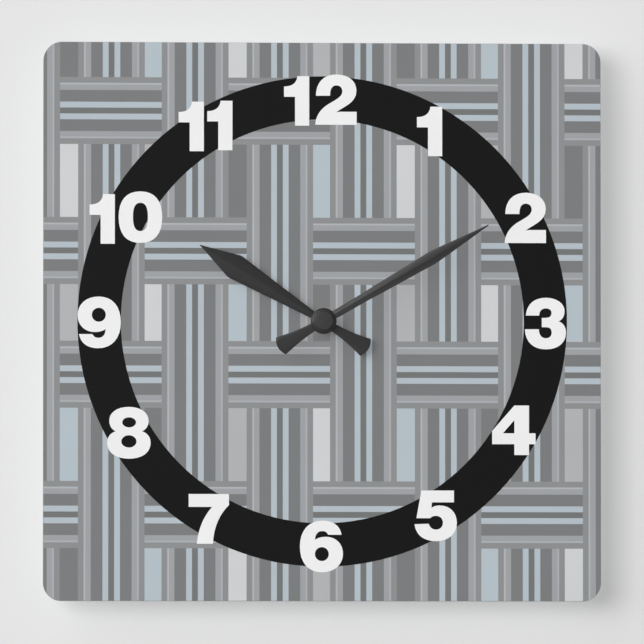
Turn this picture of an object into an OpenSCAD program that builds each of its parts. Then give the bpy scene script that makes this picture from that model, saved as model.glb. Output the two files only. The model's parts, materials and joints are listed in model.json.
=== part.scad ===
// Square acrylic wall clock with a printed dial, two push-on hands and a quartz movement.
// Frame: +Z up, the dial faces -Y and the wall is the plane Y = 0.
// The origin is the axis of the hanger's nail hole, at the wall.

/* [Panel] */
// Width and height of the square acrylic panel
panel_w = 273; // [200:1:320]
// Thickness of the acrylic panel
panel_t = 3; // [2:0.5:5]
// Radius of the panel's corners
panel_corner_r = 9; // [2:0.5:20]
// Radius of the hole that the bushing passes through
panel_hole_r = 4.15; // [4.1:0.05:5]

/* [Print] */
// Thickness of the printed pattern
print_t = 0.06; // [0.05:0.01:0.2]
// Thickness of the ring and the numerals
ink_t = 0.06; // [0.05:0.01:0.2]
// Height of the printed ring's centre above the arbor
ring_rise = 0.2; // [0:0.1:1]
// Outer radius of the ring
ring_outer_r = 119.9; // [110:0.1:125]
// Inner radius of the ring
ring_inner_r = 98.7; // [90:0.1:105]

/* [Movement] */
// Width and height of the movement's case
case_w = 56; // [56:0.5:58]
// Depth of the movement's case
case_d = 16; // [16:0.5:18]
// Radius of the case's corners
case_corner_r = 3; // [1:0.5:5]
// Thickness of the case's side walls
case_wall = 1.2; // [1:0.1:1.2]
// Distance from the nail hole down to the arbor
hang_drop = 34; // [33:0.5:38]
// Radius of the nail hole in the hanger
hanger_hole_r = 4; // [3:0.5:4]
// Thickness of the hanger's loop
hanger_t = 2.6; // [2:0.1:4]

/* [Hands] */
// Angle of the hour hand, clockwise from twelve
hour_angle = 301.6; // [0:0.1:360]
// Angle of the minute hand, clockwise from twelve
minute_angle = 59.7; // [0:0.1:360]
// Length of the hour hand from the arbor to its tip
hour_tip_r = 70.8; // [60:0.1:80]
// Length of the minute hand from the arbor to its tip
minute_tip_r = 93.6; // [80:0.1:96]
// Length of both tails
tail_r = 25.9; // [20:0.1:30]
// Width of both tails at their flared ends
tail_w = 9.6; // [8:0.1:10]
// Radius of the minute hand's hub
hub_r = 6.35; // [6:0.05:8]
// Radius of the cap on the hub
cap_r = 5; // [4:0.05:6]

/* [Hidden] */
$fn = 96;

// Heights are measured from the wall towards the viewer.
case_front_t = 1;
case_inside_h = case_d - case_front_t;
rear_plate_t = 1.5;
rubber_t = 1;
panel_back_h = case_d + rubber_t;
panel_front_h = panel_back_h + panel_t;
print_h = panel_front_h;
ink_h = print_h + print_t;
washer_t = 0.6;
nut_t = 2.2;
nut_h = ink_h + washer_t;
bushing_top_h = nut_h + nut_t + 0.7;
hour_boss_h = bushing_top_h + 0.6;
hour_boss_t = 2.4;
minute_boss_h = hour_boss_h + hour_boss_t + 0.6;
minute_boss_t = 3;
cap_h = minute_boss_h + minute_boss_t;
cap_t = 1.5;

// Coaxial shafts at the arbor, from the inside out. The centre wheel slips on the arbor.
pivot_r = 0.4;
pivot_hole_r = 0.45;
arbor_r = 1.7;
centre_bore_r = 1.74;
tube_inner_r = 1.78;
tube_r = 2.55;
bushing_bore_r = 2.63;
thread_r = 3.95;
thread_root_r = 3.55;
thread_pitch = 0.8;
flange_t = 0.8;

// Gear train: teeth and modules. Each wheel meshes with the next shaft's pinion.
rotor_teeth = 6;
intermediate_teeth = 24;
rotor_module = 0.35;
intermediate_pinion_teeth = 8;
seconds_teeth = 60;
seconds_module = 0.26;
seconds_pinion_teeth = 8;
third_teeth = 64;
third_module = 0.25;
third_pinion_teeth = 8;
centre_teeth = 60;
cannon_teeth = 10;
motion_teeth = 30;
motion_pinion_teeth = 8;
hour_teeth = 32;
motion_module = 0.475;

third_distance = third_module * (third_teeth + seconds_pinion_teeth) / 2;
centre_module = 2 * third_distance / (centre_teeth + third_pinion_teeth);
motion_distance = motion_module * (cannon_teeth + motion_teeth) / 2;
intermediate_distance = seconds_module * (seconds_teeth + intermediate_pinion_teeth) / 2;
rotor_distance = rotor_module * (rotor_teeth + intermediate_teeth) / 2;

// Directions of the shafts as seen from the front, anticlockwise from the right.
third_dir = 10;
motion_dir = 155;
intermediate_dir = 75;
rotor_dir = 110;
third_at = polar(third_distance, third_dir);
motion_at = polar(motion_distance, motion_dir);
intermediate_at = polar(intermediate_distance, intermediate_dir);
rotor_at = intermediate_at + polar(rotor_distance, rotor_dir);

// Levels of the wheels inside the case.
intermediate_h = 3.6;
seconds_h = 4.9;
stator_h = 5.6;
third_h = 6.5;
centre_h = 8.1;
plate_h = 9.4;
plate_t = 1;
board_h = plate_h + plate_t;
board_t = 0.8;
motion_h = 11.1;
hour_wheel_h = 13;
wheel_t = 0.6;
boss_top_h = 3;

// Setting knob and the cup that it turns in.
knob_r = 6;
knob_hole_r = 6.3;
knob_h = 0.2;
knob_t = 1.4;
knob_cup_h = 2;
knob_cup_t = 0.6;
knob_cup_wall = 0.8;
shaft_r = 0.8;
shaft_hole_r = 0.85;

// Battery bay across the bottom of the case.
battery_r = 7.25;
battery_len = 50.5;
battery_nub_r = 2.75;
battery_nub_len = 1.3;
battery_y = -19.1;
battery_h = 7.6;
bay_top_y = -11.5;
partition_t = 1;
sleeve_t = 0.15;
contact_t = 0.35;
contact_gap = 0.05;
contact_x = battery_len / 2 + contact_gap;

// Stator and coil.
stator_t = 1;
stator_hole_r = 2.3;
stator_ring_r = 3.9;
stator_leg_x = 13;
stator_leg_w = 3;
coil_y = 21.5;
coil_len = 20;
core_w = 2.4;
bobbin_r = 2;
winding_r = 3.7;
flange_r = 4.2;
bobbin_flange_t = 0.8;
magnet_r = 2;

// Posts that hold the middle plate off the case's front wall.
post_r = 1.3;
post_spots = [[-23.5, -8.5], [23.5, -8.5], [-23.5, 15.5], [23.5, 15.5]];

// Clips that hold the rear cover: angle of the wall and place along it.
clip_spots = [[0, -18], [0, 18], [-90, -20], [90, 20]];
clip_w = 5;
clip_t = 0.9;
clip_gap = 0.1;
clip_top_h = 9;
clip_barb_h = 6.8;
clip_barb_reach = 0.9;
clip_window_h = 6.4;
clip_window_t = 2.8;

// ---------------------------------------------------------------- helpers

function polar(r, a) = [r * cos(a), r * sin(a)];

// Puts a shape drawn as seen from the front at (x, y) from the arbor, h from the wall
module place(at = [0, 0], h = 0) {
    rotate([90, 0, 0]) translate([at[0], at[1] - hang_drop, h]) children();
}

// A rectangle with round corners, centred
module rounded_rect(w, l, r) {
    square([w - 2 * r, l], center = true);
    square([w, l - 2 * r], center = true);
    for (sx = [-1, 1], sy = [-1, 1])
        translate([sx * (w / 2 - r), sy * (l / 2 - r)]) circle(r);
}

// A disc with its far edge chamfered
module chamfered_disc(r, t, c) {
    rotate_extrude() polygon([[0, 0], [r, 0], [r, t - c], [r - c, t], [0, t]]);
}

// Points along a cubic curve, its start left out
function curve(a, b, c, d, steps = 8) = [
    for (i = [1 : steps])
        let (t = i / steps, u = 1 - t)
        u * u * u * a + 3 * u * u * t * b + 3 * u * t * t * c + t * t * t * d
];

// Points of an outline. Each item is a corner [x, y] or a curve [control, control, end].
function outline(items, i = 0, at = [0, 0]) =
    i >= len(items) ? [] :
    let (item = items[i], bends = is_list(item[0]), end = bends ? item[2] : item)
    concat(bends ? curve(at, item[0], item[1], end) : [end], outline(items, i + 1, end));

function mirrored(points, x) = [for (i = [len(points) - 1 : -1 : 0]) [2 * x - points[i][0], points[i][1]]];

// An ellipse, centred
module oval(rx, ry) {
    polygon([for (i = [0 : 47]) [rx * cos(i * 7.5), ry * sin(i * 7.5)]]);
}

// Teeth as fractions of the pitch: width at the root, pitch circle and tip
wheel_tooth = [0.50, 0.42, 0.16];
pinion_tooth = [0.34, 0.40, 0.14];
addendum = 0.8;
dedendum = 1.15;

function tooth(n, m, widths, centre) =
    let (pitch = 360 / n, rp = n * m / 2, rr = rp - dedendum * m, rt = rp + addendum * m,
         root = widths[0] * pitch * rp / rr / 2, mid = widths[1] * pitch / 2,
         tip = widths[2] * pitch * rp / rt / 2)
    [polar(rr, centre - root), polar(rp, centre - mid), polar(rt, centre - tip),
     polar(rt, centre + tip), polar(rp, centre + mid), polar(rr, centre + root)];

// A wheel or pinion with a tooth pointing in the direction `toward`, or a gap if `gap` is set
module gear(n, m, t, toward, gap = false) {
    widths = gap ? wheel_tooth : pinion_tooth;
    first = toward + (gap ? 180 / n : 0);
    linear_extrude(t)
        polygon([for (i = [0 : n - 1]) each tooth(n, m, widths, first + i * 360 / n)]);
}

// A thin shaft between two heights
module shaft(from_h, to_h, r) {
    translate([0, 0, from_h]) cylinder(h = to_h - from_h, r = r);
}

// ---------------------------------------------------------------- panel and print

module face_panel() {
    color("lightgray") place(h = panel_back_h) linear_extrude(panel_t) difference() {
        rounded_rect(panel_w, panel_w, panel_corner_r);
        circle(panel_hole_r);
    }
}

module dial_print() {
    color("darkgray") place(h = print_h) linear_extrude(print_t) difference() {
        rounded_rect(panel_w, panel_w, panel_corner_r);
        circle(panel_hole_r);
    }
}

// The digits, drawn from the left edge and the baseline
digit_1 = outline([
    [5.4, 0], [12.35, 0], [12.35, 24.25], [6.55, 24.25],
    [[6.2, 21], [4.2, 19.15], [0, 19.15]], [0, 14.1], [5.4, 14.1]]);

digit_2 = outline([
    [0.3, 14.2], [[0.4, 20.6], [4, 24.65], [10.4, 24.65]], [[16.4, 24.65], [20.2, 21.4], [20.2, 16.7]],
    [[20.2, 10.6], [13.8, 9], [10.3, 6.1]], [12, 6.4], [20.3, 6.4], [20.3, 0], [0, 0],
    [[0.2, 4], [2.2, 7.3], [6, 9.8]], [[9.3, 12], [13.3, 13.4], [13.3, 16.4]],
    [[13.3, 18.1], [12.1, 19.3], [10.4, 19.3]], [[8.2, 19.3], [7.25, 17.5], [7.25, 14.2]]]);

digit_3 = outline([
    [0.5, 16.1], [[0.8, 21.6], [4.6, 24.8], [10.3, 24.8]], [[15.6, 24.8], [19.5, 22.2], [19.5, 18.3]],
    [[19.5, 15.9], [18.5, 14.2], [16.6, 13.3]], [[18.9, 12.5], [20.2, 10.6], [20.2, 7.7]],
    [[20.2, 2.8], [16.3, -0.45], [10.3, -0.45]], [[4.2, -0.45], [0.2, 3], [0, 9.4]], [6.9, 9.4],
    [[6.9, 6.7], [8.1, 5], [10.3, 5]], [[12.1, 5], [13.15, 6.1], [13.15, 7.8]],
    [[13.15, 9.6], [12.2, 10.4], [10.4, 10.4]], [8.3, 10.4], [8.3, 14.95], [10, 14.95],
    [[12.1, 14.95], [13.1, 15.8], [13.1, 17.4]], [[13.1, 18.8], [12, 19.6], [10.3, 19.6]],
    [[8.2, 19.6], [7.1, 18.3], [7.05, 16.1]]]);

digit_4 = outline([
    [10.9, 24.25], [0, 11.75], [0, 5.3], [10.9, 5.3], [10.9, 0], [18.1, 0], [18.1, 5.3],
    [21.3, 5.3], [21.3, 10.65], [18.1, 10.65], [18.1, 24.25]]);

digit_5 = outline([
    [3.4, 24.3], [19.35, 24.3], [19.35, 18.5], [8.6, 18.5], [8.3, 15.8],
    [[9.4, 16.6], [10.8, 17], [12.3, 17]], [[17.3, 17], [20.8, 13.6], [20.8, 8.5]],
    [[20.8, 3.2], [16.7, -0.5], [10.6, -0.5]], [[4.8, -0.5], [0.6, 2.4], [0, 7.8]], [7, 8.05],
    [[7.5, 6.2], [8.8, 5.2], [10.6, 5.2]], [[12.5, 5.2], [13.95, 6.6], [13.95, 8.55]],
    [[13.95, 10.5], [12.5, 11.9], [10.6, 11.9]], [[9.3, 11.9], [8.3, 11.5], [7.7, 10.75]], [0.95, 10.75]]);

digit_6 = outline([
    [20.4, 17.9], [[19.7, 22.2], [16.4, 24.8], [11.2, 24.8]], [[4.2, 24.8], [0, 19.9], [0, 12.2]],
    [[0, 4.3], [3.9, -0.45], [10.8, -0.45]], [[16.9, -0.45], [21.1, 3.3], [21.1, 8.6]],
    [[21.1, 13.6], [17.6, 16.9], [12.7, 16.9]], [[10.6, 16.9], [8.8, 16.4], [7.4, 15.4]],
    [[7.5, 18.2], [8.8, 19.7], [11, 19.7]], [[12.4, 19.7], [13.3, 19.1], [13.8, 17.9]]]);

digit_7 = outline([
    [0, 24.3], [19.7, 24.3], [19.7, 18.9], [[15.2, 14.6], [12.2, 8], [11.85, 0]], [4, 0],
    [[4.6, 6.9], [7.2, 13.3], [11.5, 18]], [0, 18]]);

// The right half of the eight and of the nought, from the top to the bottom
eight_half = outline([
    [10.6, 24.85], [[16.2, 24.85], [20.2, 22.2], [20.2, 18.2]], [[20.2, 15.7], [19.1, 13.9], [17.1, 12.95]],
    [[19.8, 12], [21.2, 10.1], [21.2, 7.3]], [[21.2, 2.5], [17, -0.45], [10.6, -0.45]]]);
nought_half = outline([
    [10.65, 24.75], [[17.6, 24.75], [21.3, 20.4], [21.3, 12.15]],
    [[21.3, 3.9], [17.6, -0.45], [10.65, -0.45]]]);
nought_counter_half = outline([
    [10.65, 19.2], [[13.2, 19.2], [14.3, 16.9], [14.3, 12.3]], [[14.3, 7.6], [13.2, 5.35], [10.65, 5.35]]]);

// The left half of a symmetric outline, without its two points on the axis
function left_half(points, x) = let (m = mirrored(points, x)) [for (i = [1 : len(m) - 2]) m[i]];

module six() {
    difference() {
        polygon(digit_6);
        translate([10.75, 8.45]) circle(3.4);
    }
}

module digit(d) {
    if (d == 0) difference() {
        polygon(concat(nought_half, left_half(nought_half, 10.65)));
        polygon(concat(nought_counter_half, left_half(nought_counter_half, 10.65)));
    }
    if (d == 1) polygon(digit_1);
    if (d == 2) polygon(digit_2);
    if (d == 3) polygon(digit_3);
    if (d == 4) difference() {
        polygon(digit_4);
        polygon([[5.3, 10.65], [10.9, 10.65], [10.9, 17.1]]);
    }
    if (d == 5) polygon(digit_5);
    if (d == 6) six();
    if (d == 7) polygon(digit_7);
    if (d == 8) difference() {
        polygon(concat(eight_half, left_half(eight_half, 10.6)));
        translate([10.7, 17.3]) oval(3.35, 2.45);
        translate([10.6, 8]) oval(3.7, 3);
    }
    if (d == 9) translate([21.1, 24.35]) rotate(180) six();
}

// Where each digit of the twelve hours stands: digit, left edge and baseline from the arbor
digit_places = [
    [1, 46.3, 81.2], [2, 89.3, 38.8], [3, 99.2, -12.8], [4, 83.1, -65], [5, 45, -106.7], [6, -11.1, -122],
    [7, -65.5, -108.6], [8, -105.3, -66.7], [9, -119.8, -12.8], [1, -114, 37.8], [0, -99.8, 38.7],
    [1, -70.5, 83.2], [1, -56.5, 83.7], [1, -18.9, 95.9], [2, -3.6, 96.4]];

module all_digits() {
    for (p = digit_places) translate([p[1], p[2]]) digit(p[0]);
}

module hour_numerals() {
    color("white") place(h = ink_h) linear_extrude(ink_t) all_digits();
}

module hour_ring() {
    color("#1f1f1f") place(h = ink_h) linear_extrude(ink_t) difference() {
        translate([0, ring_rise]) circle(ring_outer_r);
        translate([0, ring_rise]) circle(ring_inner_r);
        all_digits();
    }
}

// ---------------------------------------------------------------- case and fasteners

module front_case() {
    inner = case_w - 2 * case_wall;
    color("#242526") place() difference() {
        union() {
            translate([0, 0, rear_plate_t]) linear_extrude(case_inside_h - rear_plate_t) difference() {
                rounded_rect(case_w, case_w, case_corner_r);
                rounded_rect(inner, inner, case_corner_r - case_wall);
            }
            translate([0, 0, case_inside_h]) linear_extrude(case_front_t)
                rounded_rect(case_w, case_w, case_corner_r);
            // Partition between the battery bay and the train, short of the contacts
            translate([-24, bay_top_y, rear_plate_t]) cube([48, partition_t, case_inside_h - rear_plate_t]);
            for (spot = post_spots)
                translate([spot[0], spot[1], board_h]) cylinder(h = case_inside_h - board_h, r = post_r);
        }
        translate([0, 0, case_inside_h - 1]) cylinder(h = case_front_t + 2, r = thread_r);
        // Windows that the clips catch in
        clip_places() translate([-clip_w / 2 - 0.3, -1, clip_window_h])
            cube([clip_w + 0.6, case_wall + 2, clip_window_t]);
    }
}

// Puts a shape against the inside of the case's wall at each clip, with the wall towards +Y
module clip_places() {
    for (spot = clip_spots) rotate(spot[0]) translate([spot[1], case_w / 2 - case_wall, 0]) children();
}

// A tongue on the rear cover with a sloping barb
module clip() {
    translate([-clip_w / 2, -clip_t - clip_gap, rear_plate_t / 2])
        cube([clip_w, clip_t, clip_top_h - rear_plate_t / 2]);
    translate([-clip_w / 2, 0, 0]) rotate([90, 0, 90]) linear_extrude(clip_w)
        polygon([[-clip_t, clip_barb_h], [clip_barb_reach, clip_barb_h], [-clip_gap, clip_top_h - 0.2],
                 [-clip_t, clip_top_h - 0.2]]);
}

// A bearing boss on the rear plate, with a blind hole for a pivot
module bearing_boss(at) {
    translate([at[0], at[1], rear_plate_t]) difference() {
        cylinder(h = boss_top_h - rear_plate_t, r = 1.4);
        translate([0, 0, 0.4]) cylinder(h = boss_top_h, r = pivot_hole_r);
    }
}

module rear_case() {
    loop_r = hang_drop - case_w / 2;
    notch_w = 2.5;
    bay_w = battery_len + 1.6;
    bay_l = 2 * battery_r + 0.5;
    color("#242526") place() {
        difference() {
            union() {
                linear_extrude(rear_plate_t) difference() {
                    rounded_rect(case_w, case_w, case_corner_r);
                    translate([-bay_w / 2, battery_y - bay_l / 2]) square([bay_w, bay_l]);
                }
                // Cup that the setting knob turns in
                translate(motion_at) cylinder(h = knob_cup_h + knob_cup_t, r = knob_hole_r + knob_cup_wall);
            }
            translate([motion_at[0], motion_at[1], -1]) cylinder(h = knob_cup_h + 1, r = knob_hole_r);
            translate(motion_at) cylinder(h = 5, r = shaft_hole_r);
        }
        for (at = [[0, 0], third_at, intermediate_at, rotor_at]) bearing_boss(at);
        clip_places() clip();
        // Hanger loop with a notch that centres the nail
        linear_extrude(hanger_t) difference() {
            union() {
                translate([0, hang_drop]) circle(loop_r);
                translate([-loop_r, case_w / 2]) square([2 * loop_r, loop_r]);
            }
            translate([0, hang_drop]) circle(hanger_hole_r);
            translate([-notch_w / 2, hang_drop]) square([notch_w, hanger_hole_r + 0.8]);
        }
    }
}

module threaded_bushing() {
    ridges = floor((bushing_top_h - case_d - 0.4) / thread_pitch);
    thread = [for (i = [0 : ridges - 1]) let (h = case_d + 0.2 + i * thread_pitch) each [
        [thread_root_r, h], [thread_r, h + thread_pitch * 0.35], [thread_r, h + thread_pitch * 0.55],
        [thread_root_r, h + thread_pitch * 0.9]]];
    color("goldenrod") place() rotate_extrude() polygon(concat(
        [[bushing_bore_r, case_inside_h - flange_t], [5.2, case_inside_h - flange_t],
         [5.2, case_inside_h], [thread_r, case_inside_h], [thread_r, case_d], [thread_root_r, case_d + 0.1]],
        thread, [[thread_root_r, bushing_top_h], [bushing_bore_r, bushing_top_h]]));
}

module washer(outer_r, inner_r, t) {
    difference() {
        cylinder(h = t, r = outer_r);
        translate([0, 0, -1]) cylinder(h = t + 2, r = inner_r);
    }
}

module rubber_washer() {
    color("#1a1a1a") place(h = case_d) washer(9, 4.1, rubber_t);
}

module brass_washer() {
    color("goldenrod") place(h = ink_h) washer(5.75, 4.1, washer_t);
}

module hex_nut() {
    across_flats = 10;
    corner_r = across_flats / 2 / cos(30);
    color("goldenrod") place(h = nut_h) difference() {
        intersection() {
            cylinder(h = nut_t, r = corner_r, $fn = 6);
            rotate_extrude() polygon([[0, 0], [corner_r - 0.4, 0], [corner_r, 0.25], [corner_r, nut_t - 0.25],
                                      [corner_r - 0.4, nut_t], [0, nut_t]]);
        }
        translate([0, 0, -1]) cylinder(h = nut_t + 2, r = thread_r);
    }
}

// ---------------------------------------------------------------- electrics

module middle_plate() {
    color("#d9d9d2") place(h = plate_h) difference() {
        translate([-25, -10.2, 0]) cube([50, 27.2, plate_t]);
        translate([0, 0, -1]) cylinder(h = plate_t + 2, r = arbor_r + 0.06);
        translate([motion_at[0], motion_at[1], -1]) cylinder(h = plate_t + 2, r = shaft_hole_r);
        for (at = [third_at, intermediate_at, rotor_at])
            translate([at[0], at[1], -1]) cylinder(h = plate_t + 2, r = pivot_hole_r);
    }
}

module circuit_board() {
    color("#2f6b3a") place(h = board_h) linear_extrude(board_t) union() {
        translate([-21, 12.2]) square([42, 4.3]);
        translate([10.5, -7]) square([10.5, 19.3]);
    }
}

module driver_chip() {
    color("#101010") place([15.5, 2], board_h + board_t) chamfered_disc(2.6, 1.1, 0.5);
}

module quartz_crystal() {
    can_r = 1;
    color("silver") place([12.5, -4.5], board_h + board_t + can_r) {
        rotate([0, 90, 0]) cylinder(h = 6.2, r = can_r);
        for (s = [-1, 1]) translate([-1.6, s * 0.45, 0]) rotate([0, 90, 0]) cylinder(h = 1.8, r = 0.17);
    }
}

module coil_bobbin() {
    color("ivory") place([0, coil_y], stator_h + stator_t / 2) rotate([0, 90, 0]) difference() {
        union() {
            translate([0, 0, -coil_len / 2]) cylinder(h = coil_len, r = bobbin_r);
            for (z = [-coil_len / 2 - bobbin_flange_t, coil_len / 2])
                translate([0, 0, z]) cylinder(h = bobbin_flange_t, r = flange_r);
        }
        cube([stator_t, core_w, 2 * coil_len], center = true);
    }
}

module coil_winding() {
    color("#b5651d") place([0, coil_y], stator_h + stator_t / 2) rotate([0, 90, 0])
        translate([0, 0, -coil_len / 2]) washer(winding_r, bobbin_r, coil_len);
}

module stator() {
    arm_y = rotor_at[1];
    color("slategray") place(h = stator_h) linear_extrude(stator_t) difference() {
        union() {
            translate(rotor_at) circle(stator_ring_r);
            translate([-stator_leg_x - stator_leg_w / 2, arm_y - stator_leg_w / 2])
                square([2 * stator_leg_x + stator_leg_w, stator_leg_w]);
            for (s = [-1, 1])
                translate([s * stator_leg_x - stator_leg_w / 2, arm_y - stator_leg_w / 2])
                    square([stator_leg_w, coil_y + core_w / 2 - arm_y + stator_leg_w / 2]);
            translate([-stator_leg_x, coil_y - core_w / 2]) square([2 * stator_leg_x, core_w]);
        }
        translate(rotor_at) circle(stator_hole_r);
    }
}

module positive_contact() {
    color("silver") place() {
        translate([contact_x, -24, 5]) cube([contact_t, 28, 6.2]);
        translate([19, 0, board_h + board_t]) cube([contact_x + contact_t - 19, 4, 0.3]);
    }
}

module negative_contact() {
    leaf_r = 7.8;
    leaf_w = 6;
    leaf_h = 4.6;
    strip_x = -26.75;
    strip_start_y = battery_y - 5;
    tab_w = 1.6;
    tab_end_y = 13.9;
    color("silver") place() {
        // Bowed leaf that presses on the battery's end
        translate([0, battery_y, leaf_h]) linear_extrude(leaf_w) intersection() {
            translate([-contact_x - leaf_r, 0]) difference() {
                circle(leaf_r);
                circle(leaf_r - 0.3);
            }
            translate([-26.7, -4.6]) square([1.5, 9.2]);
        }
        // Strip along the case's wall, and the tab that reaches over to the board
        translate([strip_x, strip_start_y, leaf_h]) cube([0.3, tab_end_y - strip_start_y, leaf_w]);
        translate([strip_x, tab_end_y - tab_w, leaf_h]) cube([0.3, tab_w, board_h + board_t + 0.3 - leaf_h]);
        translate([strip_x, tab_end_y - tab_w, board_h + board_t]) cube([6.75, tab_w, 0.3]);
    }
}

module aa_battery() {
    r = battery_r - sleeve_t;
    body_len = battery_len - battery_nub_len;
    color("silver") place([-battery_len / 2, battery_y], battery_h) rotate([0, 90, 0]) rotate_extrude()
        polygon([[0, 0], [r - 0.6, 0], [r, 0.5], [r, body_len - 0.5], [r - 0.6, body_len],
                 [battery_nub_r, body_len], [battery_nub_r, battery_len - 0.3],
                 [battery_nub_r - 0.3, battery_len], [0, battery_len]]);
}

module battery_sleeve() {
    color("#3b3f45") place([-battery_len / 2 + 0.6, battery_y], battery_h) rotate([0, 90, 0])
        washer(battery_r, battery_r - sleeve_t, battery_len - battery_nub_len - 1.2);
}

// ---------------------------------------------------------------- train

module rotor_magnet() {
    color("#55565a") place(rotor_at) translate([0, 0, 5.1]) washer(magnet_r, 0.6, 2);
}

module rotor_pinion() {
    color("ivory") place(rotor_at) {
        shaft(2.1, 9.8, pivot_r);
        shaft(3.1, 7.4, 0.6);
        translate([0, 0, 3.4]) gear(rotor_teeth, rotor_module, 1.2, rotor_dir + 180);
    }
}

module intermediate_wheel() {
    color("ivory") place(intermediate_at) {
        shaft(2.1, 9.8, pivot_r);
        translate([0, 0, intermediate_h]) gear(intermediate_teeth, rotor_module, wheel_t, rotor_dir, true);
        translate([0, 0, intermediate_h + wheel_t - 0.01])
            gear(intermediate_pinion_teeth, seconds_module, 1.3, intermediate_dir + 180);
    }
}

module seconds_wheel() {
    color("ivory") place() {
        shaft(2.1, 8.8, pivot_r);
        translate([0, 0, seconds_h]) gear(seconds_teeth, seconds_module, wheel_t, intermediate_dir, true);
        translate([0, 0, seconds_h + wheel_t - 0.01])
            gear(seconds_pinion_teeth, third_module, 1.8, third_dir);
    }
}

module third_wheel() {
    color("ivory") place(third_at) {
        shaft(2.1, 9.8, pivot_r);
        translate([0, 0, third_h]) gear(third_teeth, third_module, wheel_t, third_dir + 180, true);
        translate([0, 0, third_h + wheel_t - 0.01])
            gear(third_pinion_teeth, centre_module, 1.9, third_dir + 180);
    }
}

module centre_wheel() {
    color("goldenrod") place(h = centre_h) difference() {
        gear(centre_teeth, centre_module, wheel_t, third_dir, true);
        translate([0, 0, -1]) cylinder(h = wheel_t + 2, r = centre_bore_r);
    }
}

module clutch_spring() {
    color("silver") place(h = centre_h + wheel_t) linear_extrude(0.3) difference() {
        union() {
            circle(2.6);
            for (a = [0, 120, 240]) rotate(a) translate([0, -0.6]) square([5.5, 1.2]);
        }
        circle(arbor_r);
    }
}

module minute_arbor() {
    color("goldenrod") place() difference() {
        union() {
            shaft(7.6, cap_h, arbor_r);
            translate([0, 0, 10.7]) gear(cannon_teeth, motion_module, 1.6, motion_dir);
        }
        translate([0, 0, 7]) cylinder(h = 2, r = pivot_hole_r);
    }
}

module motion_wheel() {
    color("ivory") place(motion_at) {
        shaft(1, 14.6, shaft_r);
        translate([0, 0, motion_h]) gear(motion_teeth, motion_module, 0.8, motion_dir + 180, true);
        translate([0, 0, motion_h + 0.79]) gear(motion_pinion_teeth, motion_module, 2.31, motion_dir + 180);
    }
}

module hour_wheel() {
    color("ivory") place() difference() {
        union() {
            translate([0, 0, hour_wheel_h]) gear(hour_teeth, motion_module, 0.8, motion_dir, true);
            shaft(hour_wheel_h, hour_boss_h + hour_boss_t, tube_r);
        }
        shaft(hour_wheel_h - 1, hour_boss_h + hour_boss_t + 1, tube_inner_r);
    }
}

module setting_knob() {
    notches = 24;
    color("#ece9e0") place(motion_at, knob_h) difference() {
        cylinder(h = knob_t, r = knob_r);
        for (i = [0 : notches - 1])
            rotate(i * 360 / notches) translate([knob_r + 0.15, 0, -1]) cylinder(h = knob_t + 2, r = 0.4);
        // Finger groove across the knob's face
        translate([-4.2, -0.9, -1]) cube([8.4, 1.8, 1.5]);
        translate([0, 0, 0.8]) cylinder(h = knob_t, r = shaft_r);
    }
}

// ---------------------------------------------------------------- hands

// Outline of a hand that points up: blade from root to shoulder to tip, and a flared tail
module hand_outline(tip_r, shoulder_r, shoulder_w, root_w, waist_w) {
    widest = shoulder_w / 2;
    half = outline([
        [root_w / 2, 0], [widest - 0.35, shoulder_r - 4],
        [[widest, shoulder_r - 1], [widest, shoulder_r + 1], [widest - 0.75, shoulder_r + 3]],
        [0.25, tip_r]]);
    polygon(concat(half, mirrored(half, 0)));
    waist = waist_w / 2;
    tail = outline([
        [waist, 0], [waist, -5],
        [[waist + 0.3, -13], [waist + 1.3, -18], [tail_w / 2, 1.5 - tail_r]],
        [[3, 0.2 - tail_r], [1.5, -tail_r], [0, -tail_r]]]);
    polygon(concat(tail, left_half(tail, 0), [[-waist_w / 2, 0]]));
}

// A roof-shaped bar whose ridge runs along the hand
module ridge_bar(edge_t, slope) {
    reach = 8;
    rotate([90, 0, 0]) translate([0, 0, -100]) linear_extrude(140)
        polygon([[-reach, 0], [reach, 0], [reach, edge_t], [0, edge_t + slope * reach], [-reach, edge_t]]);
}

module hour_hand() {
    color("#3a3b3d") place(h = hour_boss_h) rotate(-hour_angle) difference() {
        union() {
            translate([0, 0, 0.5]) intersection() {
                linear_extrude(3) hand_outline(hour_tip_r, 50.5, 12.3, 2.4, 3.8);
                ridge_bar(0.3, 0.13);
            }
            cylinder(h = hour_boss_t, r = 5.2);
        }
        translate([0, 0, -1]) cylinder(h = hour_boss_t + 2, r = tube_r);
    }
}

module minute_hand() {
    color("#3a3b3d") place(h = minute_boss_h) rotate(-minute_angle) difference() {
        union() {
            translate([0, 0, 0.9]) intersection() {
                linear_extrude(3) hand_outline(minute_tip_r, 60.5, 6.1, 3.4, 4.1);
                ridge_bar(-0.1, 0.2);
            }
            chamfered_disc(hub_r, minute_boss_t, 0.35);
        }
        translate([0, 0, -1]) cylinder(h = minute_boss_t + 2, r = arbor_r);
    }
}

module hand_cap() {
    color("#3a3b3d") place(h = cap_h) chamfered_disc(cap_r, cap_t, 0.6);
}

face_panel();
dial_print();
hour_ring();
hour_numerals();
front_case();
rear_case();
threaded_bushing();
rubber_washer();
brass_washer();
hex_nut();
middle_plate();
circuit_board();
driver_chip();
quartz_crystal();
coil_bobbin();
coil_winding();
stator();
positive_contact();
negative_contact();
aa_battery();
battery_sleeve();
rotor_magnet();
rotor_pinion();
intermediate_wheel();
seconds_wheel();
third_wheel();
centre_wheel();
clutch_spring();
minute_arbor();
motion_wheel();
hour_wheel();
setting_knob();
hour_hand();
minute_hand();
hand_cap();
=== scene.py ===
"""The looks of a square acrylic wall clock: printed dial, charcoal hands, quartz movement behind.

Everything is in metres in the clock's own frame: +Z up, the dial faces -Y and the wall is Y = 0.
"""
import json
import math

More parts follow.
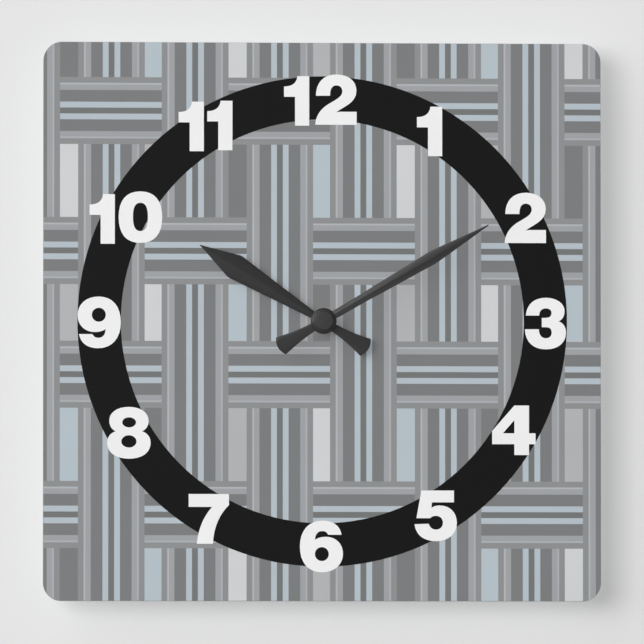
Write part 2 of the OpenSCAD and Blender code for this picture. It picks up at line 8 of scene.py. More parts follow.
import bmesh
import bpy
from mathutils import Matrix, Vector


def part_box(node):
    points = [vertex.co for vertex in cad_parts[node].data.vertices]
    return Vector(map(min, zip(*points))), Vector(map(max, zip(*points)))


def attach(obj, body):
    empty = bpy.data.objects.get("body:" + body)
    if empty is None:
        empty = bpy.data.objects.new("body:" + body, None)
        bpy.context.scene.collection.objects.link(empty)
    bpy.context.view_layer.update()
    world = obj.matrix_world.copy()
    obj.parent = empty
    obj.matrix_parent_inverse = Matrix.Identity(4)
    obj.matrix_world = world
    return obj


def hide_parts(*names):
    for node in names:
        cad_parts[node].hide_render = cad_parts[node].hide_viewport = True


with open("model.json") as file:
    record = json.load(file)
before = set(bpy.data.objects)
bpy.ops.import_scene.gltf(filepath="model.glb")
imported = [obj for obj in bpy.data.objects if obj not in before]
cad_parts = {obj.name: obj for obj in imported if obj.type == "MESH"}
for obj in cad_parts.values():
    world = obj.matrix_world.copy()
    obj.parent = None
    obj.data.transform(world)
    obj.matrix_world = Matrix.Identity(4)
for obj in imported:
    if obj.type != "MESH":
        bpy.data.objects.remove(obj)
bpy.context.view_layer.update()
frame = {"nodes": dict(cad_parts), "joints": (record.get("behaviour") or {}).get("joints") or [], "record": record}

MM = 0.001
ARBOR = Vector(next(j["pos_m"] for j in frame["joints"] if j["name"] == "minute_spin"))

# ------------------------------------------------------------------ places taken from the frame

panel_low, panel_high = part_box("face_panel")
print_low, print_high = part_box("dial_print")

PANEL_W = panel_high.x - panel_low.x
PANEL_CENTRE = (panel_low + panel_high) / 2
CORNER_R = 9 * MM
HOLE_R = 4.15 * MM


def put_in_scene(name, data):
    """An object of the mesh, light or camera."""
    thing = bpy.data.objects.new(name, data)
    bpy.context.scene.collection.objects.link(thing)
    return thing


# ------------------------------------------------------------------ camera

VIEW_AZIMUTH = -3.905  # degrees; the photographer stood a little to the left of the clock and below it
VIEW_ELEVATION = -2.313
VIEW_DISTANCE = 5.32
VIEW_LENS = 608.6
VIEW_SHIFT = (-0.00087, -0.00045)
SENSOR_W = 36


def direction(azimuth, elevation):
    """Azimuth 0 is in front of the dial and 90 to its right, in degrees."""
    azimuth, elevation = math.radians(azimuth), math.radians(elevation)
    return Vector((
        math.sin(azimuth) * math.cos(elevation),
        -math.cos(azimuth) * math.cos(elevation),
        math.sin(elevation)))


def place_camera():
    towards = direction(VIEW_AZIMUTH, VIEW_ELEVATION)
    target = Vector((PANEL_CENTRE.x, panel_low.y, PANEL_CENTRE.z))
    data = bpy.data.cameras.new("view")
    data.lens = VIEW_LENS
    data.sensor_width = SENSOR_W
    data.shift_x, data.shift_y = VIEW_SHIFT
    data.clip_start = 0.1
    data.clip_end = 100
    camera = put_in_scene("view", data)
    camera.location = target + towards * VIEW_DISTANCE
    camera.rotation_euler = (-towards).to_track_quat("-Z", "Y").to_euler()
    bpy.context.scene.camera = camera


# ------------------------------------------------------------------ material helpers

MIX_A, MIX_B, MIX_RESULT = 6, 7, 2  # the colour sockets of a Mix node


def linear(r, g, b):
    """A display colour, 0 to 255, as linear values."""
    def channel(v):
        v /= 255
        return v / 12.92 if v <= 0.04045 else ((v + 0.055) / 1.055) ** 2.4
    return channel(r), channel(g), channel(b)


class Material:
    """A Principled material, with short calls for the nodes that give it its detail."""

    def __init__(self, name, colour, **sockets):
        self.data = bpy.data.materials.new(name)
        self.data.use_nodes = True
        self.tree = self.data.node_tree
        self.shader = self.tree.nodes["Principled BSDF"]
        self.colour = colour
        self.shader.inputs["Base Color"].default_value = (*colour, 1)
        self.data.diffuse_color = (*colour, 1)
        for socket, value in sockets.items():
            self.shader.inputs[socket.replace("_", " ")].default_value = value
        self.height = None

    def node(self, kind, **inputs):
        node = self.tree.nodes.new(kind)
        for key, value in inputs.items():
            if key in node.bl_rna.properties:
                setattr(node, key, value)
            else:
                node.inputs[key].default_value = value
        return node

    def link(self, source, target):
        self.tree.links.new(source, target)

    def place(self, stretch=(1, 1, 1)):
        """Object coordinates, in metres, stretched along each axis."""
        coordinates = self.node("ShaderNodeTexCoord")
        mapping = self.node("ShaderNodeMapping", Scale=stretch)
        self.link(coordinates.outputs["Object"], mapping.inputs["Vector"])
        return mapping.outputs["Vector"]

    def noise(self, size, detail=3, stretch=(1, 1, 1)):
        """Smooth noise whose features are about `size` metres wide."""
        noise = self.node("ShaderNodeTexNoise", Scale=1 / size, Detail=detail)
        self.link(self.place(stretch), noise.inputs["Vector"])
        return noise.outputs["Fac"]

    def spread(self, value, low, high, start=0.3, end=0.7):
        """A value between start and end, spread from low to high."""
        span = self.node("ShaderNodeMapRange")
        span.inputs["From Min"].default_value = start
        span.inputs["From Max"].default_value = end
        span.inputs["To Min"].default_value = low
        span.inputs["To Max"].default_value = high
        self.link(value, span.inputs["Value"])
        return span.outputs["Result"]

    def vary_roughness(self, low, high, size, stretch=(1, 1, 1)):
        self.link(self.spread(self.noise(size, 3, stretch), low, high), self.shader.inputs["Roughness"])
        return self

    def vary_colour(self, other, size, stretch=(1, 1, 1), start=0.35, end=0.65):
        """Mixes the base colour with another one, by noise."""
        mix = self.node("ShaderNodeMix", data_type="RGBA")
        self.link(self.spread(self.noise(size, 4, stretch), 0, 1, start, end), mix.inputs["Factor"])
        mix.inputs[MIX_A].default_value = (*self.colour, 1)
        mix.inputs[MIX_B].default_value = (*other, 1)
        self.link(mix.outputs[MIX_RESULT], self.shader.inputs["Base Color"])
        return self

    def bump(self, value, depth, strength=1.0):
        """Adds a bump of `depth` metres from a value between 0 and 1."""
        bump = self.node("ShaderNodeBump", Strength=strength, Distance=depth)
        self.link(value, bump.inputs["Height"])
        if self.height is not None:
            self.link(self.height, bump.inputs["Normal"])
        self.height = bump.outputs["Normal"]
        self.link(self.height, self.shader.inputs["Normal"])
        return self

    def grain(self, size, depth, stretch=(1, 1, 1)):
        return self.bump(self.noise(size, 3, stretch), depth)


def shaded(colour, by):
    return tuple(c * by for c in colour)


# ------------------------------------------------------------------ materials

def make_print(name, colour):
    """Satin ink on the acrylic: a very fine grain, and a tone that drifts by a hundredth or two."""
    material = Material(name, colour, Specular_IOR_Level=0.22)
    material.vary_colour(shaded(colour, 0.975), 0.03)
    material.vary_roughness(0.42, 0.52, 0.004)
    material.grain(0.0004, 0.000004)
    return material.data


PRINT_COLOURS = {
    "mid": linear(145, 146, 147),
    "thin": linear(180, 184, 187),
    "thin_dim": linear(175, 179, 183),
    "light": linear(162, 164, 167),
    "dark": linear(126, 127, 128),
    "blue": linear(184, 194, 202),
    "mid_dark": linear(119, 121, 121),
    "block_white": linear(210, 212, 214),
    "block_blue": linear(183, 195, 202),
    "block_grey": linear(181, 182, 184),
}


def make_acrylic():
    """The panel's back and edges: polished, and as grey as the print shows through."""
    material = Material("acrylic", (0.32, 0.335, 0.34), IOR=1.49)
    material.vary_colour((0.29, 0.31, 0.32), 0.05)
    material.vary_roughness(0.05, 0.12, 0.02)
    material.grain(0.01, 0.00001)
    return material.data


def make_moulded(name, colour, rough=0.5, grain_size=0.0006, grain_depth=0.00002):
    """Moulded plastic with the fine texture of a sparked mould."""
    material = Material(name, colour, Specular_IOR_Level=0.45)
    material.vary_colour(shaded(colour, 0.85), 0.008)
    material.vary_roughness(rough - 0.07, rough + 0.07, 0.003)
    material.grain(grain_size, grain_depth)
    return material.data


def make_hand_plastic(name, colour, rough):
    """Satin charcoal moulding, smoother than the case."""
    material = Material(name, colour, Specular_IOR_Level=0.6)
    material.vary_colour(shaded(colour, 0.92), 0.006)
    material.vary_roughness(rough - 0.03, rough + 0.03, 0.003)
    material.grain(0.0005, 0.000006)
    return material.data


def make_metal(name, colour, rough=0.28, stretch=(1, 1, 1), line=0.0005, depth=0.000006):
    """Metal with fine lines from turning, rolling or plating."""
    material = Material(name, colour, Metallic=1.0)
    material.vary_colour(shaded(colour, 0.86), 0.004)
    material.vary_roughness(rough - 0.06, rough + 0.08, line * 3, stretch)
    material.grain(line, depth, stretch)
    return material.data


def make_rubber():
    material = Material("rubber", (0.02, 0.02, 0.02), Specular_IOR_Level=0.35)
    material.vary_colour((0.03, 0.03, 0.03), 0.002)
    material.vary_roughness(0.75, 0.9, 0.002)
    material.grain(0.0004, 0.00003)
    return material.data


def make_copper():
    """Enamelled wire: turns lie side by side along X."""
    material = Material("copper_wire", (0.62, 0.25, 0.10), Metallic=0.9)
    wave = material.node("ShaderNodeTexWave", Scale=2200.0, Distortion=0.2, bands_direction="X")
    material.link(material.place(), wave.inputs["Vector"])
    material.bump(wave.outputs["Fac"], 0.00004)
    material.vary_colour((0.45, 0.17, 0.07), 0.003)
    material.vary_roughness(0.25, 0.4, 0.001)
    return material.data


def make_board():
    """Solder mask over copper tracks."""
    material = Material("board", (0.03, 0.16, 0.06), Coat_Weight=0.3)
    cells = material.node("ShaderNodeTexVoronoi", Scale=450.0, distance="CHEBYCHEV")
    material.link(material.place(), cells.inputs["Vector"])
    material.bump(cells.outputs["Distance"], 0.00003)
    material.vary_colour((0.02, 0.11, 0.045), 0.002)
    material.vary_roughness(0.25, 0.4, 0.002)
    return material.data


BAND_W = 13.5 * MM
BAND_FADE = 0.5 * MM


def make_sleeve():
    """The battery's plain film: dark, with a paler band at the positive end and scuffs along it."""
    dark = (0.035, 0.045, 0.06)
    pale = (0.42, 0.44, 0.46)
    material = Material("sleeve_film", dark, Coat_Weight=0.4)
    _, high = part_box("battery_sleeve")
    split = material.node("ShaderNodeSeparateXYZ")
    material.link(material.place(), split.inputs["Vector"])
    band = material.spread(split.outputs["X"], 0, 1, high.x - BAND_W, high.x - BAND_W + BAND_FADE)
    mix = material.node("ShaderNodeMix", data_type="RGBA")
    material.link(band, mix.inputs["Factor"])
    mix.inputs[MIX_A].default_value = (*dark, 1)
    mix.inputs[MIX_B].default_value = (*pale, 1)
    material.link(mix.outputs[MIX_RESULT], material.shader.inputs["Base Color"])
    material.vary_roughness(0.18, 0.34, 0.003, (1, 6, 6))
    material.grain(0.002, 0.00002)
    return material.data


TURNED = (0.4, 6, 0.4)  # stretches of the noise for lines left by turning and by rolling
ROLLED = (0.15, 4, 4)

materials = {
    "acrylic": make_acrylic(),
    "ink_black": make_print("ink_black", linear(14, 14, 14)),
    "ink_white": make_print("ink_white", linear(244, 244, 244)),
    "case_plastic": make_moulded("case_plastic", (0.018, 0.018, 0.02), 0.52),
    "frame_plastic": make_moulded("frame_plastic", (0.72, 0.71, 0.66), 0.42, 0.001, 0.00001),
    "gear_plastic": make_moulded("gear_plastic", (0.8, 0.78, 0.72), 0.36, 0.001, 0.00001),
    "knob_plastic": make_moulded("knob_plastic", (0.76, 0.74, 0.68), 0.38, 0.0008, 0.00001),
    "hand_plastic": make_hand_plastic("hand_plastic", linear(51, 51, 51), 0.33),
    # A darker copy of the hand plastic for the hour hand: painted shade, for the light its slopes catch less of
    # than the minute hand's.
    "hand_plastic_dark": make_hand_plastic("hand_plastic_dark", linear(48, 48, 48), 0.33),
    "hand_plastic_matt": make_hand_plastic("hand_plastic_matt", linear(49, 49, 49), 0.5),
    "rubber": make_rubber(),
    "brass": make_metal("brass", (0.78, 0.57, 0.26), 0.26, TURNED),
    "bright_metal": make_metal("bright_metal", (0.72, 0.72, 0.71), 0.22, ROLLED),
    "steel": make_metal("steel", (0.36, 0.37, 0.39), 0.42, ROLLED),
    "magnet": make_metal("magnet", (0.13, 0.13, 0.14), 0.5, (1, 1, 1), 0.0004, 0.00002),
    "copper_wire": make_copper(),
    "board": make_board(),
    "chip_resin": make_moulded("chip_resin", (0.012, 0.012, 0.012), 0.2, 0.002, 0.00003),
    "sleeve_film": make_sleeve(),
}


def dress_nodes():
    """Gives every CAD node the material of its slot."""
    for row in frame["record"]["subparts"]:
        slot = row["material_slot"]
        if slot in materials:
            data = frame["nodes"][row["node"]].data
            data.materials.clear()
            data.materials.append(materials[slot])


# ------------------------------------------------------------------ mesh helpers

def plain_object(name, build):
    """Runs build(bm) and makes an object of the result."""
    mesh = bpy.data.meshes.new(name)
    bm = bmesh.new()
    build(bm)
    bmesh.ops.recalc_face_normals(bm, faces=bm.faces)
    bm.to_mesh(mesh)
    bm.free()
    return put_in_scene(name, mesh)


def make_piece(name, build, material, body, node, smooth_below):
    """A piece in place of a CAD node. Edges sharper than smooth_below degrees stay sharp."""
    piece = plain_object(name, build)
    mesh = piece.data
    mesh.polygons.foreach_set("use_smooth", [True] * len(mesh.polygons))
    mesh.set_sharp_from_angle(angle=math.radians(smooth_below))
    mesh.materials.append(materials[material])
    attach(piece, body)
    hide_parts(node)
    return piece


def bridge(bm, first, second, closed=True):
    """Quads between two rows of vertices of the same length."""
    count = len(first)
    for i in range(count if closed else count - 1):
        j = (i + 1) % count
        bm.faces.new((first[i], first[j], second[j], second[i]))


CORNER_STEPS = 16


def square_loop(width, radius):
    """Points (x, z) round a square with round corners, centred, anticlockwise from the right."""
    straight = width / 2 - radius
    points = []
    for corner, (sx, sz) in enumerate(((1, 1), (-1, 1), (-1, -1), (1, -1))):
        for step in range(CORNER_STEPS + 1):
            angle = math.radians(90 * (corner + step / CORNER_STEPS))
            points.append((
                sx * straight + radius * math.cos(angle),
                sz * straight + radius * math.sin(angle)))
    return points


def ray_loop(radius, outline):
    """Points (x, z) on a circle, each in the direction of a point of the outline."""
    return [(radius * x / math.hypot(x, z), radius * z / math.hypot(x, z)) for x, z in outline]


def ring_of(bm, points, y, centre=ARBOR):
    """Vertices at points (x, z) about a centre, all at the same depth."""
    return [bm.verts.new((centre.x + x, y, centre.z + z)) for x, z in points]


def quarter(steps=4):
    """(inset, rise) of a quarter circle of radius 1, from the side to the face."""
    for step in range(steps + 1):
        angle = math.radians(90 * step / steps)
        yield 1 - math.cos(angle), math.sin(angle)


# ------------------------------------------------------------------ panel and print

PANEL_EDGE = 0.15 * MM
FLAT_MARGIN = 0.5  # of the edge's radius: keeps the rounding's shading off the flat faces


def build_panel(bm):
    """The acrylic sheet, with polished edges and its hole."""
    back, front = panel_high.y - PANEL_EDGE, panel_low.y + PANEL_EDGE
    loops = [(1 + FLAT_MARGIN, panel_high.y)]
    loops += [(inset, back + rise * PANEL_EDGE) for inset, rise in reversed(list(quarter()))]
    loops += [(inset, front - rise * PANEL_EDGE) for inset, rise in quarter()]
    loops += [(1 + FLAT_MARGIN, panel_low.y)]
    rings = []
    for inset, y in loops:
        inset *= PANEL_EDGE
        rings.append(ring_of(bm, square_loop(PANEL_W - 2 * inset, CORNER_R - inset), y, PANEL_CENTRE))
    outline = square_loop(PANEL_W, CORNER_R)
    hole_back = ring_of(bm, ray_loop(HOLE_R, outline), panel_high.y)
    hole_front = ring_of(bm, ray_loop(HOLE_R, outline), panel_low.y)
    rows = [hole_back, *rings, hole_front]
    for first, second in zip(rows, rows[1:]):
        bridge(bm, first, second)
    bridge(bm, hole_front, hole_back)


# The printed weave, in millimetres from the panel's centre. Bands run up and across; where they don't, a
# narrow block shows between them.
TILE_W = 82.4
FIRST_BLOCK_X = -128.46
SECOND_BLOCK_DX = 41.42
FIRST_BLOCK_W = 8.88
SECOND_BLOCK_W = 8.28
ROW_TOP = 119.3
ROW_H = 32.78
ROW_GAPS = (35.66, 27.64)
HALF_PROFILE = (("mid", 2.8), ("thin", 0.87), ("light", 2.64), ("dark", 5.7), ("blue", 2.85))
CORE = ("mid_dark", 2.87)
BLOCK_CYCLE = (
    ("dark", "block_blue", "block_white", "block_grey"),
    ("block_white", "block_grey", "dark", "block_blue"),
    ("block_grey", "block_white", "block_blue", "dark"),
    ("block_blue", "dark", "block_grey", "block_white"),
)
OTHER_HALF = [("thin_dim" if name == "thin" else name, width) for name, width in reversed(HALF_PROFILE)]
PROFILE = (*HALF_PROFILE, CORE, *OTHER_HALF)
PROFILE_W = sum(width for _, width in PROFILE)


def block_columns():
    """(start, end) of each column of blocks, from left to right, past both edges of the panel."""
    for tile in range(-1, 5):
        start = FIRST_BLOCK_X + tile * TILE_W
        yield start, start + FIRST_BLOCK_W
        start += SECOND_BLOCK_DX
        yield start, start + SECOND_BLOCK_W


def band_rows():
    """(top, bottom) of each row of bands that run across."""
    top = ROW_TOP
    for row in range(4):
        yield top, top - ROW_H
        top -= ROW_H + ROW_GAPS[row % 2]


COLUMNS = list(block_columns())
ROWS = list(band_rows())
FIRST_VISIBLE = 2  # the column of blocks nearest the panel's left edge


def stripe_at(offset, width):
    """Name of the stripe at a distance from a band's first edge."""
    at = 0
    for name, part in PROFILE:
        at += part * width / PROFILE_W
        if offset < at:
            return name
    return PROFILE[-1][0]


def colour_at(x, z):
    """Name of the print's colour at a point, in millimetres from the panel's centre."""
    for row, (top, bottom) in enumerate(ROWS):
        if bottom < z < top:
            for column in range(row % 2, len(COLUMNS) - 1, 2):
                if COLUMNS[column][0] < x < COLUMNS[column + 1][1]:
                    return stripe_at(top - z, ROW_H)
    for column, (start, end) in enumerate(COLUMNS):
        if start < x < end:
            cell = sum(1 for top, bottom in ROWS if z < bottom)
            return BLOCK_CYCLE[cell % 4][(column - FIRST_VISIBLE) % 4]
        if column + 1 < len(COLUMNS) and end <= x <= COLUMNS[column + 1][0]:
            return stripe_at(x - end, COLUMNS[column + 1][0] - end)
    return "mid"


def stripe_lines(start, width):
    """Where the stripes of a band begin and end."""
    at = start
    for _, part in PROFILE:
        yield at
        at += part * width / PROFILE_W
    yield at


def grid_lines():
    """The x and z of every edge between two colours that lies on the panel, in millimetres."""
    reach = PANEL_W / 2 / MM + 1
    xs, zs = {-reach, reach}, {-reach, reach}
    for (start, end), (after, _) in zip(COLUMNS, COLUMNS[1:]):
        xs.add(start)
        xs.update(stripe_lines(end, after - end))
    for top, _ in ROWS:
        zs.update(top - at for at in stripe_lines(0, ROW_H))

    def keep(values):
        return sorted(round(v, 4) for v in values if abs(v) <= reach)

    return keep(xs), keep(zs)


def build_weave(bm):
    """A sheet of cells, one for each patch of colour, as thick as the print."""
    xs, zs = grid_lines()
    names = list(PRINT_COLOURS)
    sheets = []
    for y in (print_low.y, print_high.y):
        sheets.append([[
            bm.verts.new((PANEL_CENTRE.x + x * MM, y, PANEL_CENTRE.z + z * MM)) for x in xs] for z in zs])
    for j in range(len(zs) - 1):
        for i in range(len(xs) - 1):
            colour = names.index(colour_at((xs[i] + xs[i + 1]) / 2, (zs[j] + zs[j + 1]) / 2))
            for sheet in sheets:
                face = bm.faces.new((sheet[j][i], sheet[j][i + 1], sheet[j + 1][i + 1], sheet[j + 1][i]))
                face.material_index = colour
    front, back = sheets
    for first, second in zip(
            [front[0], front[-1], [r[0] for r in front], [r[-1] for r in front]],
            [back[0], back[-1], [r[0] for r in back], [r[-1] for r in back]]):
        bridge(bm, first, second, closed=False)


def build_print_cutter(bm):
    """The outline of the print, with the hole, thicker than the print."""
    inset = PANEL_EDGE * 0.7
    outline = square_loop(PANEL_W - 2 * inset, CORNER_R - inset)
    outer = [ring_of(bm, outline, y, PANEL_CENTRE) for y in (print_low.y - MM, print_high.y + MM)]
    inner = [ring_of(bm, ray_loop(HOLE_R, outline), y) for y in (print_low.y - MM, print_high.y + MM)]
    bridge(bm, outer[0], outer[1])
    bridge(bm, inner[0], inner[1])
    bridge(bm, outer[0], inner[0])
    bridge(bm, outer[1], inner[1])


def make_dial_pattern():
    """The weave, cut to the outline of the print."""
    sheet = plain_object("weave_sheet", build_weave)
    for name, colour in PRINT_COLOURS.items():
        sheet.data.materials.append(make_print("print_" + name, colour))
    cutter = plain_object("print_cutter", build_print_cutter)
    cut = sheet.modifiers.new("outline", "BOOLEAN")
    cut.operation = "INTERSECT"
    cut.solver = "EXACT"
    cut.object = cutter
    evaluated = sheet.evaluated_get(bpy.context.evaluated_depsgraph_get())
    mesh = bpy.data.meshes.new_from_object(evaluated)
    mesh.name = "dial_pattern"
    for spare in (sheet, cutter):
        bpy.data.objects.remove(spare)
    piece = put_in_scene("dial_pattern", mesh)
    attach(piece, "clock_body")
    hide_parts("dial_print")


# ------------------------------------------------------------------ hands

# In millimetres: along the hand from the arbor, half across it, and up from the wall.
HOUR_ANGLE = 301.6  # degrees clockwise from twelve
HOUR_BASE = 24.66
HOUR_PEAK = 25.9
HOUR_TAIL_PEAK = 25.6
HOUR_WAIST = 1.9
HOUR_SLOPES = (0.2, 0.08)
HOUR_HUB = ((2.55, 24.16), (5.2, 24.16), (5.2, 26.56), (2.55, 26.56))
HOUR_HUB_SOFT = 0.3
HOUR_BLADE = (
    (0, 1.2), (12, 2.37), (24, 3.55), (36, 4.75), (46.5, 5.78), (49.3, 6.1), (50.6, 6.13), (51.8, 5.95),
    (53.5, 5.4), (58, 4.0), (63, 2.44), (68, 0.9), (70, 0.3), (70.8, 0.12))
MINUTE_ANGLE = 59.7
MINUTE_BASE = 28.06
MINUTE_PEAK = 29.56
MINUTE_TAIL_PEAK = 29.1
MINUTE_WAIST = 2.05
MINUTE_SLOPES = (0.29, 0.03)
MINUTE_HUB = ((1.7, 27.16), (6.1, 27.16), (6.35, 27.5), (6.35, 29.2), (5.4, 30.16), (1.7, 30.16))
MINUTE_HUB_SOFT = 0.25
MINUTE_BLADE = (
    (0, 1.95), (15, 2.12), (23, 2.18), (30.5, 2.48), (38, 2.69), (46, 2.86), (54, 3.07), (58.5, 3.23),
    (60.5, 3.28), (62, 3.25), (65.5, 2.98), (69.5, 2.62), (73.4, 2.23), (81.2, 1.45), (89, 0.65), (92.8, 0.3),
    (93.6, 0.14))
TAIL_SLOPES = (0.03, 0.012)
TAIL_NECK = 5
TAIL_END = 24.4
TAIL_HALF = 4.8
TAIL_BULGE = 1.5
TAIL_SOFT = 0.35
TAIL_FLARE = 14  # where the end of the tail starts to bulge
TAIL_STEPS = 14
HAND_CAP = ((0, 30.16), (4.9, 30.16), (5.0, 30.3), (5.0, 30.95), (4.45, 31.6), (0, 31.66))
HAND_CAP_SOFT = 0.3
RIDGE_SOFT = 0.3  # half the width over which the two slopes meet
EDGE_BEVEL = 0.22


def bezier(points, steps):
    """Points along a cubic curve, after its first point."""
    a, b, c, d = (Vector(p) for p in points)
    for step in range(1, steps + 1):
        t = step / steps
        yield tuple(a * (1 - t) ** 3 + b * 3 * t * (1 - t) ** 2 + c * 3 * t * t * (1 - t) + d * t ** 3)


def soften(points, radius, steps=4):
    """Rounds the corners of an open line; its two ends stay."""
    points = [Vector(p) for p in points]
    result = [points[0]]
    for before, corner, after in zip(points, points[1:], points[2:]):
        start = corner + (before - corner) * min(radius / (before - corner).length, 0.45)
        end = corner + (after - corner) * min(radius / (after - corner).length, 0.45)
        for step in range(steps + 1):
            t = step / steps
            result.append(start * (1 - t) ** 2 + corner * 2 * t * (1 - t) + end * t * t)
    return result + [points[-1]]


def build_turned(bm, profile, segments=96):
    """Turns a line of (radius, height from the wall) in millimetres about the arbor."""
    rows = []
    for radius, height in profile:
        if radius == 0:
            rows.append([bm.verts.new((ARBOR.x, -height * MM, ARBOR.z))])
            continue
        points = [(
            radius * MM * math.cos(math.tau * i / segments),
            radius * MM * math.sin(math.tau * i / segments)) for i in range(segments)]
        rows.append(ring_of(bm, points, -height * MM))
    for first, second in zip(rows, rows[1:]):
        if len(first) == 1 or len(second) == 1:
            point, ring = (first[0], second) if len(first) == 1 else (second[0], first)
            for i in range(segments):
                bm.faces.new((ring[i], ring[(i + 1) % segments], point))
        else:
            bridge(bm, first, second)


def turned_ring(bm, profile, radius):
    """Turns a profile and closes it along its bore."""
    line = soften(profile, radius)
    build_turned(bm, line + [line[0]])
    bmesh.ops.remove_doubles(bm, verts=bm.verts, dist=1e-7)


def cross_section(half, base, peak, slope):
    """(across, height) round a hand: flat below, bevelled at its edges and with a soft ridge above."""
    bevel = min(EDGE_BEVEL, half * 0.4)

    def top(v):
        return peak - slope * (math.hypot(v, RIDGE_SOFT) - RIDGE_SOFT)

    flat = half - bevel
    edge = top(flat)
    side = [
        (half - 0.1 * bevel, base), (half, base + 0.1),
        (half, edge - bevel), (half - 0.3 * bevel, edge - 0.3 * bevel)]
    side += [(share * flat, top(share * flat)) for share in (1, 0.6, 0.3, 0.15, 0.07)]
    return side + [(0, top(0))] + [(-v, h) for v, h in reversed(side)]


def build_bar(bm, angle, stations, base, peak, slopes):
    """A bar along the hand with a ridge, whose two sides slope less towards its end.

    Stations are (distance, half width, bulge) and slopes are those at the arbor and at the end.
    """
    angle = math.radians(angle)
    stations = list(stations)
    reach = max(abs(distance) for distance, half, bulge in stations)
    along = Vector((math.sin(angle), 0, math.cos(angle)))
    across = Vector((math.cos(angle), 0, -math.sin(angle)))
    rows = []
    for distance, half, bulge in stations:
        row = []
        slope = slopes[0] + (slopes[1] - slopes[0]) * abs(distance) / reach
        for v, height in cross_section(half, base, peak, slope):
            u = distance + bulge * (1 - (v / half) ** 2)
            point = along * u * MM + across * v * MM
            row.append(bm.verts.new((ARBOR.x + point.x, -height * MM, ARBOR.z + point.z)))
        rows.append(row)
    for first, second in zip(rows, rows[1:]):
        bridge(bm, first, second)
    for row in (rows[0], rows[-1]):
        half_way = len(row) // 2
        for i in range(half_way):
            a, b, c, d = row[i], row[i + 1], row[-2 - i], row[-1 - i]
            bm.faces.new((a, b, c, d) if b is not c else (a, b, d))


def tail_stations(waist):
    """The tail flares from the waist, along a curve of (half width, distance), to a round end."""
    yield 0, waist, 0
    yield -TAIL_NECK, waist, 0
    curve = ((waist, TAIL_NECK), (waist + 0.3, 13), (waist + 1.3, 18), (TAIL_HALF, TAIL_END))
    for half, distance in bezier(curve, TAIL_STEPS):
        share = max(0, (distance - TAIL_FLARE) / (TAIL_END - TAIL_FLARE))
        yield -distance + TAIL_SOFT, half, -TAIL_BULGE * share
    yield -TAIL_END, TAIL_HALF - 0.12, -TAIL_BULGE


def build_hour_hand(bm):
    blade = [(distance, half, 0) for distance, half in HOUR_BLADE]
    build_bar(bm, HOUR_ANGLE, blade, HOUR_BASE, HOUR_PEAK, HOUR_SLOPES)
    build_bar(bm, HOUR_ANGLE, tail_stations(HOUR_WAIST), HOUR_BASE, HOUR_TAIL_PEAK, TAIL_SLOPES)
    turned_ring(bm, HOUR_HUB, HOUR_HUB_SOFT)


def build_minute_hand(bm):
    blade = [(distance, half, 0) for distance, half in MINUTE_BLADE]
    build_bar(bm, MINUTE_ANGLE, blade, MINUTE_BASE, MINUTE_PEAK, MINUTE_SLOPES)
    build_bar(bm, MINUTE_ANGLE, tail_stations(MINUTE_WAIST), MINUTE_BASE, MINUTE_TAIL_PEAK, TAIL_SLOPES)
    turned_ring(bm, MINUTE_HUB, MINUTE_HUB_SOFT)


def build_hand_cap(bm):
    """The disc pressed into the minute hand's hub."""
    build_turned(bm, soften(HAND_CAP, HAND_CAP_SOFT))


def make_hands():
    parts = (
        # The hour hand takes the darker copy of the hand plastic, which is painted shade.
        ("hour_hand_moulding", build_hour_hand, "hand_plastic_dark", "hour", "hour_hand"),
        ("minute_hand_moulding", build_minute_hand, "hand_plastic", "minute", "minute_hand"),
        ("hub_cap_moulding", build_hand_cap, "hand_plastic_matt", "minute", "hand_cap"))
    for name, build, material, body, node in parts:
        piece = make_piece(name, build, material, body, node, smooth_below=28)
        # Thin and high above the dial, the minute hand leaves no shadow that shows there.
        piece.visible_shadow = node != "minute_hand"


# ------------------------------------------------------------------ light and stage

def one_sided(material, colour):
    """A matt surface that only a camera in front of it sees, and that all other light passes."""
    tree = material.node_tree
    shader = tree.nodes["Principled BSDF"]
    shader.inputs["Base Color"].default_value = (*colour, 1)
    shader.inputs["Roughness"].default_value = 0.9
    shader.inputs["Specular IOR Level"].default_value = 0
    clear = tree.nodes.new("ShaderNodeBsdfTransparent")
    geometry = tree.nodes.new("ShaderNodeNewGeometry")
    path = tree.nodes.new("ShaderNodeLightPath")
    seen = tree.nodes.new("ShaderNodeMath")
    seen.operation = "SUBTRACT"
    mix = tree.nodes.new("ShaderNodeMixShader")
    tree.links.new(path.outputs["Is Camera Ray"], seen.inputs[0])
    tree.links.new(geometry.outputs["Backfacing"], seen.inputs[1])
    tree.links.new(seen.outputs[0], mix.inputs["Fac"])
    tree.links.new(clear.outputs["BSDF"], mix.inputs[1])
    tree.links.new(shader.outputs["BSDF"], mix.inputs[2])
    tree.links.new(mix.outputs["Shader"], tree.nodes["Material Output"].inputs["Surface"])


def make_stage(name, corners, colour):
    mesh = bpy.data.meshes.new(name)
    mesh.from_pydata(corners, [], [(0, 1, 2, 3)])
    material = bpy.data.materials.new(name)
    material.use_nodes = True
    one_sided(material, colour)
    mesh.materials.append(material)
    put_in_scene(name, mesh)


WALL_REACH = 0.55
WALL_GAP = 0.3 * MM
FLOOR_DROP = 1.3
FLOOR_REACH = 4
FLOOR_FRONT, FLOOR_BACK = -6, 2
PALE = (0.8, 0.8, 0.8)


def make_backdrop():
    low, high = ARBOR.z - WALL_REACH, ARBOR.z + WALL_REACH
    make_stage("wall", [
        (-WALL_REACH, WALL_GAP, low), (WALL_REACH, WALL_GAP, low),
        (WALL_REACH, WALL_GAP, high), (-WALL_REACH, WALL_GAP, high)], PALE)
    floor = ARBOR.z - FLOOR_DROP
    make_stage("floor", [
        (-FLOOR_REACH, FLOOR_FRONT, floor), (FLOOR_REACH, FLOOR_FRONT, floor),
        (FLOOR_REACH, FLOOR_BACK, floor), (-FLOOR_REACH, FLOOR_BACK, floor)], PALE)


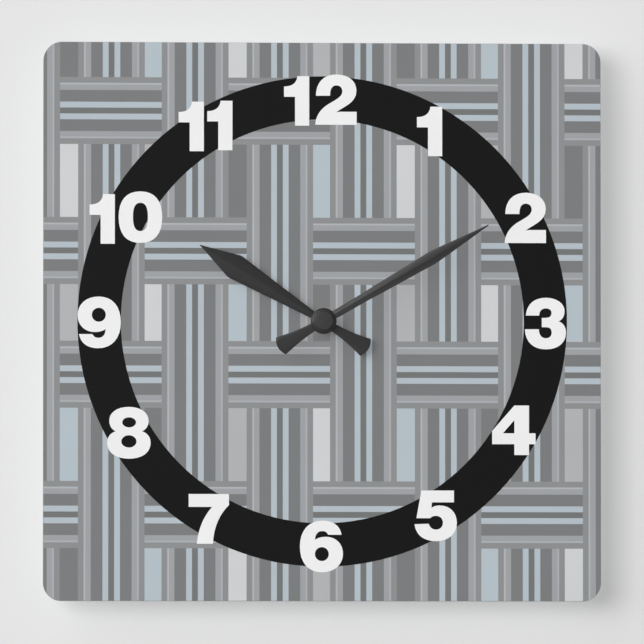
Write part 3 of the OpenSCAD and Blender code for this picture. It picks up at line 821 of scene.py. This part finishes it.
def add_light(data, towards, distance):
    light = put_in_scene(data.name, data)
    light.location = PANEL_CENTRE + towards * distance
    light.rotation_euler = (-towards).to_track_quat("-Z", "Y").to_euler()
    light.visible_camera = False
    return light


SUN_DISTANCE = 3  # it only sets where the lamp is drawn


def make_softbox(name, azimuth, elevation, distance, width, height, share):
    """A soft light that faces the clock. With shares that add up to 1, a flat dial shows its own colours."""
    towards = direction(azimuth, elevation)
    data = bpy.data.lights.new(name, "AREA")
    data.shape = "RECTANGLE"
    data.size, data.size_y = width, height
    data.energy = share * math.pi ** 2 * distance ** 2 / abs(towards.y)
    return add_light(data, towards, distance)


def make_flat_light(name, azimuth, elevation, spread, strength):
    """Even light from far away that leaves no glint."""
    data = bpy.data.lights.new(name, "SUN")
    data.angle = math.radians(spread)
    data.energy = strength
    add_light(data, direction(azimuth, elevation), SUN_DISTANCE).visible_glossy = False


def make_world(seen, lit):
    """A pale surround for the camera, and a dimmer one for the light it gives."""
    world = bpy.data.worlds.new("studio")
    world.use_nodes = True
    tree = world.node_tree
    background = tree.nodes["Background"]
    path = tree.nodes.new("ShaderNodeLightPath")
    mix = tree.nodes.new("ShaderNodeMix")
    mix.data_type = "RGBA"
    tree.links.new(path.outputs["Is Camera Ray"], mix.inputs["Factor"])
    mix.inputs[MIX_A].default_value = (lit, lit, lit, 1)
    mix.inputs[MIX_B].default_value = (seen, seen, seen, 1)
    tree.links.new(mix.outputs[MIX_RESULT], background.inputs["Color"])
    bpy.context.scene.world = world


FRONT_SHARE = 0.455
GLEAM_SIZE = 1.6


def light_scene():
    """Front, strip and window light the dial, the gleams only the hands, and the rest the other views."""
    make_flat_light("front", VIEW_AZIMUTH, VIEW_ELEVATION, 4, FRONT_SHARE * math.pi)
    make_softbox("strip", -29, 8.5, 8, 4.6, 3.8, 0.32)
    make_softbox("window", -62, 28, 8, 9, 9, 0.20)
    for name, azimuth, elevation, share in (("gleam", -10, 28, 0.040), ("gleam_low", 18, -22, 0.02)):
        gleam = make_softbox(name, azimuth, elevation, 8, GLEAM_SIZE, GLEAM_SIZE, share)
        gleam.visible_diffuse = False  # only gloss, for the slopes of the hands
    make_softbox("rear_left", 215, 25, 5, 3, 3, 0.28)
    make_softbox("rear_right", 150, 35, 5, 3, 3, 0.36)
    make_flat_light("side_left", -96, 8, 6, 1.2)
    make_flat_light("side_right", 96, 8, 6, 1.2)
    make_flat_light("overhead", 180, 84, 6, 1.4)
    make_world(seen=0.75, lit=0.07)
    bpy.context.scene.view_settings.view_transform = "Standard"


# ------------------------------------------------------------------ the scene

place_camera()
dress_nodes()
make_piece("acrylic_panel", build_panel, "acrylic", "clock_body", "face_panel", smooth_below=35)
make_dial_pattern()
make_hands()
make_backdrop()
light_scene()
